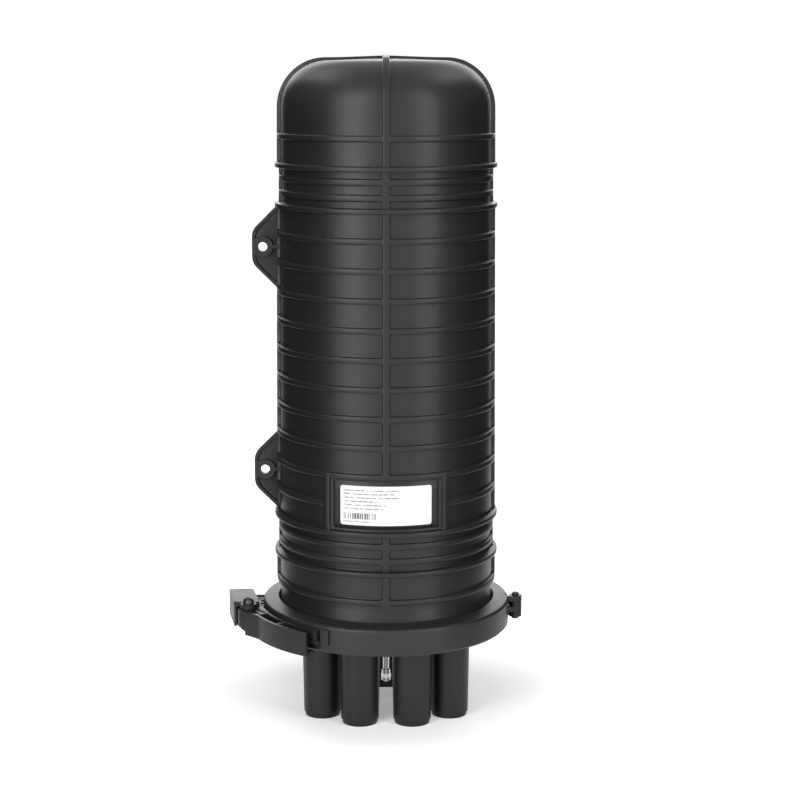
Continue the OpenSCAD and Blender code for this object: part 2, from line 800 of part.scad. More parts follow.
module bracket_screws() {
    color(steel) for (p = screw_places) translate([p[0], p[1], 0]) {
        translate([0, 0, plate_z + 1]) cylinder(r = screw_r, h = plate_t + sheet_t);
        translate([0, 0, plate_top_z + sheet_t])
            rotate_extrude() polygon([[0, 0], [3.8, 0], [3.8, 1.4], [2.6, 2.4], [0, 2.4]]);
    }
}

// A post beside each round port that grips a cable's strength member
clamp_places = [[-24, -38], [24, -38], [-68, -16], [68, -16]];
post_w = 10;
post_h = 22;
post_screw_r = 1.5;

module strength_clamps() {
    color(steel) for (p = clamp_places) translate([p[0], p[1], plate_top_z]) difference() {
        translate([-post_w / 2, -post_w / 2, 0]) cube([post_w, post_w, post_h]);
        translate([-post_w, 0, post_h - 7]) rotate([0, 90, 0])
            cylinder(r = post_screw_r + fit / 2, h = 2 * post_w);
        translate([0, 0, post_h - 6]) cylinder(r = post_screw_r + fit / 2, h = 8);
    }
}

module strength_screws() {
    color(steel) for (p = clamp_places) translate([p[0], p[1], plate_top_z]) {
        translate([0, 0, post_h - 5]) cylinder(r = post_screw_r, h = 5);
        translate([0, 0, post_h]) cylinder(r = 2 * post_screw_r + fit, h = 2.4);
    }
}

basket_d = 34;

// Open box behind the bracket that stores loose fibre tubes
module storage_basket() {
    w = bracket_w - 8;
    d = basket_d;
    h = tray_h + 20;
    wall = 2;
    color(grey_plastic) translate([-w / 2, bracket_y + sheet_t, tray_z]) difference() {
        cube([w, d, h]);
        translate([wall, wall, wall]) cube([w - 2 * wall, d, h - 2 * wall]);
        translate([-1, d - 14, 40]) cube([w + 2, 20, h - 80]);
    }
}

// Comb on the bracket's front; each tray's axle lies in one of its slots
module tray_carrier() {
    color(grey_plastic) difference() {
        translate([-tray_w / 2 + 10, bracket_y - carrier_d, tray_z - carrier_h])
            cube([tray_w - 20, carrier_d, carrier_h]);
        for (k = [1 : tray_count])
            translate([-tray_w / 2, tray_y(k) - tray_axle_r - fit, tray_z - 5])
                cube([tray_w, 2 * (tray_axle_r + fit), 6]);
    }
}

// Distance of tray k's middle plane from the axis, counted forward from the bracket
function tray_y(k) = bracket_y - 1 - (k - 0.5) * tray_pitch;

module splice_tray(k) {
    wall = 2;
    color(grey_plastic) translate([0, tray_y(k), tray_z]) difference() {
        union() {
            translate([-tray_w / 2, -tray_t / 2, fit]) cube([tray_w, tray_t, tray_h]);
            translate([-tray_w / 2 + 6, 0, -5 + tray_axle_r + 0.1]) rotate([0, 90, 0])
                cylinder(r = tray_axle_r, h = tray_w - 12);
            translate([-tray_w / 2 + 10, -1, -3]) cube([tray_w - 20, 2, 4]);
        }
        translate([-tray_w / 2 + wall, -tray_t / 2 - 1, wall + 2])
            difference() {
                cube([tray_w - 2 * wall, tray_t - wall + 1, tray_h - 2 * wall - 2]);
                // rows of splice holders and the two coiling posts stay standing
                for (row = [0 : 11]) translate([tray_w / 2 - wall - 22, 0, tray_h / 2 - 33 + row * 5.5])
                    cube([44, tray_t + 2, 2.2]);
                for (z = [60, tray_h - 60]) translate([tray_w / 2 - wall, -1, z])
                    rotate([-90, 0, 0]) cylinder(r = 22, h = tray_t + 4);
            }
        for (z = [60, tray_h - 60]) translate([0, -tray_t / 2 - 1, z + wall + 2])
            rotate([-90, 0, 0]) cylinder(r = 20, h = tray_t + 4);
    }
}

module tray_cover() {
    color([0.8, 0.85, 0.9, 0.5])
        translate([-tray_w / 2 + 6, tray_y(tray_count) - tray_t / 2 - 1.6, tray_z + 10])
            cube([tray_w - 12, 1.5, tray_h - 20]);
}

// Hook-and-loop strap round the trays and the bracket
module tray_strap() {
    t = 1;
    front = tray_y(tray_count) - tray_t / 2 - 1.8;
    back = bracket_y + sheet_t + basket_d + fit;
    w = tray_w + 0.6;
    color([0.1, 0.1, 0.1]) translate([0, 0, tray_z + tray_h / 2 + 50]) linear_extrude(20)
        difference() {
            translate([-w / 2 - t, front - t]) square([w + 2 * t, back - front + 2 * t]);
            translate([-w / 2, front]) square([w, back - front]);
        }
}

dome();
label();
base();
seal_ring();
clamp_rear();
clamp_front();
hinge_pin();
latch_link();
latch_lever();
link_pin();
lever_screw();
lever_nut();
earth_stud();
earth_cap_nut();
earth_washer();
earth_inner_nut();
tray_bracket();
bracket_screws();
strength_clamps();
strength_screws();
storage_basket();
tray_carrier();
splice_tray(1);  // splice_tray_1
splice_tray(2);  // splice_tray_2
splice_tray(3);  // splice_tray_3
splice_tray(4);  // splice_tray_4
splice_tray(5);  // splice_tray_5
splice_tray(6);  // splice_tray_6
tray_cover();
tray_strap();
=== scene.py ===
"""Dome splice closure: dresses the CAD frame with fine shapes and finishes, and sets up its stage.

Sizes inside the functions are in millimetres, heights above the ends of the cable ports."""

import math
from functools import partial

import bmesh
import bpy
import numpy as np
from bpy.props import FloatProperty, FloatVectorProperty, IntProperty, PointerProperty
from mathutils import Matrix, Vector


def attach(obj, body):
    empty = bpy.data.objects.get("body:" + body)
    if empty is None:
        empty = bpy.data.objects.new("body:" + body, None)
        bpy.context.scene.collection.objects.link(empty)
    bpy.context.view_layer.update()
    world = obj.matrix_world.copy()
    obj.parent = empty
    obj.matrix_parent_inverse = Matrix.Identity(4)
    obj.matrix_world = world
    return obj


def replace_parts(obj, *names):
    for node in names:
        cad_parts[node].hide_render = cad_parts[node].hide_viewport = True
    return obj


bl_info = {
    "name": "Dome splice closure",
    "version": (1, 0, 0),
    "blender": (4, 5, 0),
    "location": "View3D > Sidebar > Closure",
    "description": "Dresses a dome splice closure and sets up its studio",
    "category": "Object",
}

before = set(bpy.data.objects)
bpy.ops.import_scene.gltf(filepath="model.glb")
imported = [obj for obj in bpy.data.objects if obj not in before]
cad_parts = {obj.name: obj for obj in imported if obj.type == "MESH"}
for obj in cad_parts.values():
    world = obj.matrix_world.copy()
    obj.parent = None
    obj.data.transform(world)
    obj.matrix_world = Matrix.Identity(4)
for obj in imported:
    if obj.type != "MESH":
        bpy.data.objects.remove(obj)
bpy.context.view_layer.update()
MM = 0.001


def linear(code):
    """An sRGB hex colour as linear red, green and blue."""
    parts = [int(code[i : i + 2], 16) / 255 for i in (1, 3, 5)]
    return tuple(c / 12.92 if c <= 0.04045 else ((c + 0.055) / 1.055) ** 2.4 for c in parts)


# ---- Settings ------------------------------------------------------------------------


class DomeSizes(bpy.types.PropertyGroup):
    wall_radius: FloatProperty(
        name="Wall radius", description="Radius of the plain wall at the joint",
        default=99.7 * MM, min=0.05, max=0.2, unit="LENGTH")
    draft: FloatProperty(
        name="Draft", description="Inward slope of the wall", default=0.009, min=0, max=0.03)
    joint_height: FloatProperty(
        name="Joint height", description="Height of the joint above the port ends",
        default=91 * MM, min=0.05, max=0.2, unit="LENGTH")
    wall: FloatProperty(
        name="Wall thickness", description="Thickness of the moulded shell",
        default=4.5 * MM, min=0.002, max=0.01, unit="LENGTH")
    rib_width: FloatProperty(
        name="Rib width", description="Width of a plain rib",
        default=5 * MM, min=0.002, max=0.01, unit="LENGTH")
    rib_height: FloatProperty(
        name="Rib height", description="How far a plain rib stands out",
        default=3.1 * MM, min=0.001, max=0.006, unit="LENGTH")
    tall_width: FloatProperty(
        name="Tall rib width", description="Width of a rib that bounds a banded zone",
        default=4.4 * MM, min=0.002, max=0.01, unit="LENGTH")
    tall_height: FloatProperty(
        name="Tall rib height", description="How far a tall rib stands out",
        default=5.1 * MM, min=0.002, max=0.008, unit="LENGTH")
    upright_width: FloatProperty(
        name="Upright rib width", description="Width of the four upright ribs",
        default=6.3 * MM, min=0.002, max=0.012, unit="LENGTH")
    upright_height: FloatProperty(
        name="Upright rib height", description="How far an upright rib stands out",
        default=3.3 * MM, min=0.001, max=0.006, unit="LENGTH")
    shoulder_radius: FloatProperty(
        name="Shoulder radius", description="Radius between the wall and the crown",
        default=42 * MM, min=0.02, max=0.06, unit="LENGTH")
    corner_radius: FloatProperty(
        name="Corner radius", description="Radius of a panel's corners between the ribs",
        default=1.3 * MM, min=0.0005, max=0.004, unit="LENGTH")


class Finish(bpy.types.PropertyGroup):
    dome_colour: FloatVectorProperty(
        name="Dome", description="Colour of the dome", subtype="COLOR",
        default=linear("#1d1d1e"), min=0, max=1)
    base_colour: FloatVectorProperty(
        name="Base", description="Colour of the base and ports", subtype="COLOR",
        default=linear("#1c1c1d"), min=0, max=1)
    clamp_colour: FloatVectorProperty(
        name="Clamp", description="Colour of the clamp ring and latch", subtype="COLOR",
        default=linear("#202021"), min=0, max=1)
    label_colour: FloatVectorProperty(
        name="Label", description="Colour of the label film", subtype="COLOR",
        default=linear("#f1f1f1"), min=0, max=1)
    ink_colour: FloatVectorProperty(
        name="Ink", description="Colour of the rules on the label", subtype="COLOR",
        default=linear("#5c5c5e"), min=0, max=1)
    tray_colour: FloatVectorProperty(
        name="Trays", description="Colour of the splice trays", subtype="COLOR",
        default=linear("#c9ccd0"), min=0, max=1)
    edge_radius: FloatProperty(
        name="Edge radius", description="Rounding of the moulded edges of base and clamp",
        default=0.6 * MM, min=0, max=0.002, unit="LENGTH")


class Studio(bpy.types.PropertyGroup):
    lens: FloatProperty(
        name="Lens", description="Focal length of the camera in millimetres",
        default=83.66, min=20, max=200)
    distance: FloatProperty(
        name="Distance", description="Distance of the camera in front of the axis",
        default=1.7015, min=0.5, max=5, unit="LENGTH")
    height: FloatProperty(
        name="Height", description="Height of the camera above the floor",
        default=0.5926, min=0, max=3, unit="LENGTH")
    pitch: FloatProperty(
        name="Pitch", description="How far the camera looks down",
        default=math.radians(10.08), min=0, max=1.5, unit="ROTATION")
    shift: FloatProperty(
        name="Shift", description="Sideways shift of the camera's frame",
        default=0.0175, min=-0.2, max=0.2)
    left_box: FloatProperty(
        name="Left softbox", description="Radiance of the softbox on the left",
        default=5.85, min=0, max=20)
    right_box: FloatProperty(
        name="Right softbox", description="Radiance of the softbox on the right",
        default=4.8, min=0, max=20)
    top_box: FloatProperty(
        name="Top softbox", description="Radiance of the softbox overhead",
        default=2.4, min=0, max=20)
    back_box: FloatProperty(
        name="Back softbox", description="Radiance of the pale backdrop behind the object",
        default=2.6, min=0, max=20)
    front_box: FloatProperty(
        name="Front softbox", description="Radiance of the fill behind the camera",
        default=0.6, min=0, max=20)
    ambient: FloatProperty(
        name="Ambient", description="Radiance of the room round the object",
        default=0.25, min=0, max=2)
    columns: IntProperty(
        name="Panel columns", description="Mesh columns across a quarter of the dome",
        default=26, min=8, max=60)


# ---- Finishes ------------------------------------------------------------------------


def add(tree, kind, settings=None, inputs=None):
    """Adds a node with its settings; an input is a value, or a socket to link."""
    made = tree.nodes.new(kind)
    for name, value in (settings or {}).items():
        setattr(made, name, value)
    for name, value in (inputs or {}).items():
        if isinstance(value, bpy.types.NodeSocket):
            tree.links.new(value, made.inputs[name])
        else:
            made.inputs[name].default_value = value
    return made


def fresh_material(name):
    """An empty node material with its output node."""
    material = bpy.data.materials.new(name)
    material.use_nodes = True
    material.node_tree.nodes.clear()
    return material, material.node_tree, add(material.node_tree, "ShaderNodeOutputMaterial")


def scale_of(size_mm):
    """Noise scale that gives features of this size on object coordinates in metres."""
    return 1 / (size_mm * MM)


def moulded_plastic(name, colour, roughness, spread, grain_mm, grain_depth_mm, ior=1.5):
    """Moulded plastic: satin grain from the tool, and faint patches where it cooled.

    The specular level is low, because the white room would wash out a black plastic.
    """
    material, tree, out = fresh_material(name)
    place = add(tree, "ShaderNodeTexCoord").outputs["Object"]
    patches = add(tree, "ShaderNodeTexNoise", {}, {
        "Vector": place, "Scale": scale_of(60), "Detail": 3.0, "Roughness": 0.55})
    shine = add(tree, "ShaderNodeMapRange", {}, {
        "Value": patches.outputs["Fac"], "From Min": 0.3, "From Max": 0.7,
        "To Min": roughness - spread, "To Max": roughness + spread})
    tint = add(tree, "ShaderNodeMix", {"data_type": "RGBA"}, {
        "Factor": patches.outputs["Fac"],
        "A": (*[c * 0.9 for c in colour], 1), "B": (*[min(1, c * 1.1) for c in colour], 1)})
    grain = add(tree, "ShaderNodeTexNoise", {}, {
        "Vector": place, "Scale": scale_of(grain_mm), "Detail": 2.0, "Roughness": 0.6})
    bump = add(tree, "ShaderNodeBump", {}, {
        "Height": grain.outputs["Fac"], "Strength": 0.35, "Distance": grain_depth_mm * MM})
    shader = add(tree, "ShaderNodeBsdfPrincipled", {}, {
        "Base Color": tint.outputs["Result"], "Roughness": shine.outputs["Result"],
        "IOR": ior, "Specular IOR Level": 0.3, "Normal": bump.outputs["Normal"]})
    tree.links.new(shader.outputs["BSDF"], out.inputs["Surface"])
    return material


def turned_metal(name, colour, roughness, line_mm, depth_mm):
    """Turned or rolled metal with fine lines round it."""
    material, tree, out = fresh_material(name)
    place = add(tree, "ShaderNodeTexCoord").outputs["Object"]
    squeezed = add(tree, "ShaderNodeMapping", {}, {"Vector": place, "Scale": (0.1, 0.1, 1.0)})
    lines = add(tree, "ShaderNodeTexNoise", {}, {
        "Vector": squeezed.outputs["Vector"], "Scale": scale_of(line_mm), "Detail": 2.0})
    shine = add(tree, "ShaderNodeMapRange", {}, {
        "Value": lines.outputs["Fac"], "From Min": 0.3, "From Max": 0.7,
        "To Min": roughness * 0.8, "To Max": roughness * 1.25})
    bump = add(tree, "ShaderNodeBump", {}, {
        "Height": lines.outputs["Fac"], "Strength": 0.3, "Distance": depth_mm * MM})
    shader = add(tree, "ShaderNodeBsdfPrincipled", {}, {
        "Base Color": (*colour, 1), "Metallic": 1.0, "Roughness": shine.outputs["Result"],
        "Normal": bump.outputs["Normal"]})
    tree.links.new(shader.outputs["BSDF"], out.inputs["Surface"])
    return material


def printed_label(name, film, ink):
    """White polyester film, printed with plain rules and a block of bars, no words."""
    material, tree, out = fresh_material(name)

    def sum_up(operation, a, b=0.0, c=0.0):
        return add(tree, "ShaderNodeMath", {"operation": operation}, {0: a, 1: b, 2: c}).outputs[0]

    place = add(tree, "ShaderNodeSeparateXYZ", {}, {
        "Vector": add(tree, "ShaderNodeTexCoord").outputs["Object"]})
    across = sum_up("MULTIPLY", place.outputs["X"], 1000)  # millimetres from the middle
    up = sum_up("MULTIPLY_ADD", place.outputs["Z"], 1000, -212)

    def within(value, low, high):
        return sum_up("MULTIPLY", sum_up("GREATER_THAN", value, low),
                      sum_up("LESS_THAN", value, high))

    # six rules in rows 3.3 mm apart, broken into strokes of about 1.6 mm
    row = sum_up("DIVIDE", sum_up("SUBTRACT", 15.2, up), 3.3)
    row_number = sum_up("FLOOR", row)
    step = sum_up("FLOOR", sum_up("DIVIDE", across, 0.8))
    stroke = sum_up("MULTIPLY_ADD", row_number, 37.0, step)
    broken = add(tree, "ShaderNodeTexWhiteNoise", {"noise_dimensions": "1D"}, {"W": stroke})
    length = add(tree, "ShaderNodeTexWhiteNoise", {"noise_dimensions": "1D"}, {
        "W": sum_up("MULTIPLY_ADD", row_number, 5.0, 3.0)})
    row_end = sum_up("MULTIPLY_ADD", length.outputs["Value"], 22.0, -6.0)
    rules = sum_up("MULTIPLY", within(sum_up("FRACT", row), 0.28, 0.6),
                   within(row, 0.0, 6.0))
    rules = sum_up("MULTIPLY", rules, sum_up("LESS_THAN", across, row_end))
    rules = sum_up("MULTIPLY", rules, sum_up("GREATER_THAN", across, -37.5))
    rules = sum_up("MULTIPLY", rules, sum_up("GREATER_THAN", broken.outputs["Value"], 0.2))

    # a block of bars 30 mm long and 5 mm high, in steps of 0.6 mm, with a rule under it
    bar = add(tree, "ShaderNodeTexWhiteNoise", {"noise_dimensions": "1D"}, {
        "W": sum_up("FLOOR", sum_up("DIVIDE", across, 0.6))})
    bars = sum_up("MULTIPLY", within(up, -12.2, -6.8), within(across, -37.5, -8.0))
    bars = sum_up("MULTIPLY", bars, sum_up("GREATER_THAN", bar.outputs["Value"], 0.45))
    under = sum_up("MULTIPLY", within(up, -15.0, -14.0), within(across, -37.5, -14.0))
    under = sum_up("MULTIPLY", under, sum_up("GREATER_THAN", broken.outputs["Value"], 0.2))
    block = sum_up("MAXIMUM", bars, sum_up("MULTIPLY", under, 0.75))
    printed = sum_up("MAXIMUM", sum_up("MULTIPLY", rules, 0.75), block)

    # film fibres 1.5 mm long give the white a faint cloud
    cloud = add(tree, "ShaderNodeTexNoise", {}, {
        "Vector": add(tree, "ShaderNodeTexCoord").outputs["Object"],
        "Scale": scale_of(1.5), "Detail": 2.0})
    white = add(tree, "ShaderNodeMix", {"data_type": "RGBA"}, {
        "Factor": cloud.outputs["Fac"], "A": (*[c * 0.98 for c in film], 1), "B": (*film, 1)})
    colour = add(tree, "ShaderNodeMix", {"data_type": "RGBA"}, {
        "Factor": printed, "A": white.outputs["Result"], "B": (*ink, 1)})
    shader = add(tree, "ShaderNodeBsdfPrincipled", {}, {
        "Base Color": colour.outputs["Result"], "Roughness": 0.35, "IOR": 1.5})
    tree.links.new(shader.outputs["BSDF"], out.inputs["Surface"])
    return material


def clear_cover(name):
    """Clear polycarbonate sheet: glass-like, a little scuffed from handling."""
    material, tree, out = fresh_material(name)
    scuffs = add(tree, "ShaderNodeTexNoise", {}, {
        "Vector": add(tree, "ShaderNodeTexCoord").outputs["Object"],
        "Scale": scale_of(12), "Detail": 4.0})
    shine = add(tree, "ShaderNodeMapRange", {}, {
        "Value": scuffs.outputs["Fac"], "To Min": 0.03, "To Max": 0.14})
    shader = add(tree, "ShaderNodeBsdfPrincipled", {}, {
        "Base Color": (*linear("#eef3f6"), 1), "Roughness": shine.outputs["Result"],
        "IOR": 1.585, "Transmission Weight": 1.0})
    tree.links.new(shader.outputs["BSDF"], out.inputs["Surface"])
    return material


FINISHES = {}


def finish(name):
    """The named finish, made once from the settings."""
    look = bpy.context.scene.closure_finish
    if name not in FINISHES:
        FINISHES[name] = {
            # black polypropylene, injection moulded in a fine-grained tool: dark, with
            # broad soft highlights; the 0.9 mm grain is coarser than the real one to show
            "dome_plastic": lambda: moulded_plastic(
                "Moulded polypropylene", look.dome_colour, 0.4, 0.02, 0.9, 0.05),
            # the same plastic off another tool, slightly smoother
            "base_plastic": lambda: moulded_plastic(
                "Moulded polypropylene, base", look.base_colour, 0.42, 0.02, 0.9, 0.05),
            # glass-filled nylon: the fibres near the skin make it greyer and drier
            "clamp_plastic": lambda: moulded_plastic(
                "Glass-filled nylon", look.clamp_colour, 0.43, 0.03, 1.2, 0.06, 1.53),
            # silicone rubber: matt, takes little light
            "seal_rubber": lambda: moulded_plastic(
                "Silicone rubber", linear("#2c2c2e"), 0.6, 0.04, 1.5, 0.05, 1.43),
            # white ABS trays: pale and satin
            "tray_plastic": lambda: moulded_plastic(
                "Moulded ABS, trays", look.tray_colour, 0.38, 0.03, 1.0, 0.03, 1.53),
            # woven nylon hook-and-loop tape: a dry fuzz of 1.2 mm loops
            "strap_fabric": lambda: moulded_plastic(
                "Hook-and-loop nylon", linear("#1a1a1b"), 0.85, 0.05, 1.2, 0.4, 1.53),
            "label_film": lambda: printed_label(
                "Polyester label film", look.label_colour, look.ink_colour),
            "clear_plastic": lambda: clear_cover("Clear polycarbonate"),
            # zinc-plated sheet steel: light grey with a dull sheen
            "steel": lambda: turned_metal(
                "Zinc-plated steel", linear("#b9bcc0"), 0.34, 0.6, 0.02),
            # nickel-plated brass, turned: bright, almost a mirror
            "bright_steel": lambda: turned_metal(
                "Nickel-plated brass", linear("#f0efec"), 0.32, 0.4, 0.02),
            # steel with a black oxide skin: dark, oily sheen
            "black_steel": lambda: turned_metal(
                "Black oxide steel", linear("#4a4a4c"), 0.42, 0.5, 0.02),
        }[name]()
    return FINISHES[name]


def dress(obj, name):
    """Gives a piece its finish and its material slot, and shades it smooth."""
    obj.data.materials.clear()
    obj.data.materials.append(finish(name))
    obj.data.polygons.foreach_set("use_smooth", [True] * len(obj.data.polygons))
    return obj


def soften(obj, width, angle=32):
    """Rounds a CAD node's sharp edges: joins its facets first, then bevels."""
    weld = obj.modifiers.new("Join", "WELD")
    weld.merge_threshold = 0.005 * MM
    flat = obj.modifiers.new("Flat faces", "DECIMATE")
    flat.decimate_type = "DISSOLVE"
    flat.angle_limit = math.radians(0.6)
    bevel = obj.modifiers.new("Rounded edges", "BEVEL")
    bevel.width = width
    bevel.segments = 3
    bevel.limit_method = "ANGLE"
    bevel.angle_limit = math.radians(angle)
    bevel.use_clamp_overlap = True
    normals = obj.modifiers.new("Flat shading", "WEIGHTED_NORMAL")
    normals.keep_sharp = True
    return obj


def new_piece(name, mesh, body="root"):
    """A mesh object of the closure that rides with a body."""
    obj = bpy.data.objects.new(name, mesh)
    bpy.context.scene.collection.objects.link(obj)
    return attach(obj, body)


# ---- Dome ----------------------------------------------------------------------------

FAR = 99.0  # a distance, in millimetres, from which no rib counts
RIB_STEPS = (0.85, 0.3, 0.07, -0.03, -0.2, -0.5, -1.3)  # inward from a rib's edge
FOOT_R = 0.5
TOP_R = 0.75


def rib_side(d, tall):
    """Height of a rib's side at distance d outside its edge: foot fillet, wall, top."""
    d = np.asarray(d, float)
    foot_r = np.minimum(FOOT_R, tall * 0.3)
    top_r = np.minimum(TOP_R, tall * 0.45)
    t = np.clip(d / foot_r, 0, 1)
    foot = foot_r * (1 - np.sqrt(1 - (1 - t) ** 2))
    u = np.clip((-d - 0.07) / top_r, 0, 1)
    top = tall - top_r + top_r * np.sqrt(1 - (1 - u) ** 2)
    wall = foot_r + (tall - top_r - foot_r) * np.clip(-d / 0.07, 0, 1)
    return np.where(d >= foot_r, 0, np.where(d >= 0, foot, np.where(d > -0.07, wall, top)))


class DomeShape:
    """Heights of the ribs, and the surface of the dome between them."""

    def __init__(self, size):
        self.r = size.wall_radius / MM
        self.draft = size.draft
        self.joint = size.joint_height / MM
        self.wall = size.wall / MM
        self.upright_w = size.upright_width / MM
        self.upright_h = size.upright_height / MM
        self.shoulder = size.shoulder_radius / MM
        self.corner = size.corner_radius / MM
        plain = (size.rib_width / MM, size.rib_height / MM)
        tall = (size.tall_width / MM, size.tall_height / MM)
        band = (5.6, 1.5)
        pitch, zone = 26, 36
        first = self.joint + 33
        low = first + pitch
        high = low + zone + 11 * pitch
        self.zones = ((low, low + zone), (high, high + zone))
        self.label = (low + zone, low + zone + 2 * pitch)
        self.first = first
        self.last = high + zone + pitch
        self.ribs = [(first, *plain)]
        for z in (low, high):
            middle = z + zone / 2
            self.ribs += [(z, *tall), (middle - 6.8, *band), (middle + 6.8, *band),
                          (z + zone, *tall)]
        self.ribs += [(low + zone + k * pitch, *plain) for k in range(1, 11)]
        self.ribs += [(self.last, *plain)]
        self.ribs.sort()
        self.shell_top = self.last + 72 - self.upright_h
        self.shoulder_z = self.shell_top - 2 - self.shoulder
        self.frame_middle = 51.55
        self.frame_w = 4.9

    def wall_r(self, z):
        return self.r - self.draft * (z - self.joint)

    def set_in(self, z):
        """How far the wall lies inside the plain wall at height z."""
        if z < self.first:
            return 1.7 if z > self.first - 10 else 0.4
        return 1.2 if any(a < z < b for a, b in self.zones) else 0.0

    def height(self, z, x, y):
        """How far the surface stands out of the plain wall, for one row of points."""
        sunk = self.set_in(z)
        near = [(abs(z - c) - w / 2, out + sunk, c) for c, w, out in self.ribs]
        side = abs(np.abs(x) - self.frame_middle) - self.frame_w / 2
        in_label = self.label[0] < z < self.label[1]
        front = y < 0
        window = front & in_label & (np.abs(x) < self.frame_middle)
        behind_label = abs(z - (self.label[0] + 26)) < 9  # the rib row that the label covers
        d, out, _ = min(near)
        d1, tall1 = np.full(x.shape, d), np.full(x.shape, out)
        if behind_label:
            d1 = np.where(window, FAR, d1)
        reach = 1.5 if sunk == 1.2 else self.upright_h
        if z < self.first - 2.5:
            reach = -1.0
        tall2 = np.full(x.shape, max(0.02, reach + sunk))
        to_upright = np.minimum(np.where(front & in_label, FAR, np.abs(x)), np.abs(y))
        d2 = to_upright - self.upright_w / 2
        if reach < 0:
            d2 = np.full(x.shape, FAR)
        if in_label:
            d2 = np.where(front, np.minimum(d2, side), d2)
        both = self.corner - np.hypot(np.maximum(self.corner - d1, 0),
                                      np.maximum(self.corner - d2, 0))
        up = np.maximum(rib_side(d1, tall1), rib_side(d2, tall2))
        fillet = np.where((d1 > -1) & (d2 > -1), rib_side(both, np.minimum(tall1, tall2)), 0)
        up = np.maximum(up, fillet)
        # the moat round the raised field that carries the label
        edge = np.minimum(self.frame_middle - self.frame_w / 2 - np.abs(x),
                          min(z - self.label[0] - 2.2, self.label[1] - 2.5 - z))
        moat = 0.6 * np.clip((edge - 0.3) / 0.5, 0, 1) * np.clip((3.3 - edge) / 0.4, 0, 1)
        return up - sunk - np.where(window, moat, 0)

    def crown_height(self, x, y):
        """Height of the cross of upright ribs on the shoulder and crown."""
        dx = np.abs(x) - self.upright_w / 2
        dy = np.abs(y) - self.upright_w / 2
        tall_x = np.full(x.shape, self.upright_h)
        low = 0.8 * np.clip((70 - np.hypot(x, y)) / 30, 0, 1)
        tall_y = self.upright_h - low
        both = self.corner - np.hypot(np.maximum(self.corner - dx, 0),
                                      np.maximum(self.corner - dy, 0))
        up = np.maximum(rib_side(dx, tall_x), rib_side(dy, tall_y))
        crossing = (dx > -1) & (dy > -1)
        return np.maximum(up, rib_side(np.where(crossing, both, FAR), tall_y))


def dome_angles(shape, r, columns):
    """Angles of the mesh columns on a circle of radius r, from the front, in order."""
    r = max(r, 9.0)
    rib = shape.upright_w / 2
    steps = [rib - s for s in RIB_STEPS]
    rib_set = [-s for s in reversed(steps)] + [0.0] + steps
    half = shape.frame_w / 2
    frame = [half - s for s in RIB_STEPS]
    moat_set = [-half - 4.0, -half - 3.4, -half - 2.7]
    frame_set = moat_set + [-s for s in reversed(frame)] + [0.0] + frame
    wide = max(r, 98.0)  # near the crown the columns keep their angles
    groups = [[math.asin(u / r) for u in rib_set]]
    right = [math.asin((shape.frame_middle + u) / wide) for u in frame_set]
    groups.append(right)
    for k in (1, 2, 3):
        groups.append([k * math.pi / 2 + math.asin(u / r) for u in rib_set])
    groups.append([2 * math.pi - a for a in reversed(right)])
    between = (7, columns - 11, columns, columns, columns - 11, 7)
    angles = []
    for k, group in enumerate(groups):
        angles += group
        start = group[-1]
        stop = groups[k + 1][0] if k + 1 < len(groups) else groups[0][0] + 2 * math.pi
        count = between[k]
        angles += [start + (stop - start) * (i + 1) / (count + 1) for i in range(count)]
    return np.array(angles)


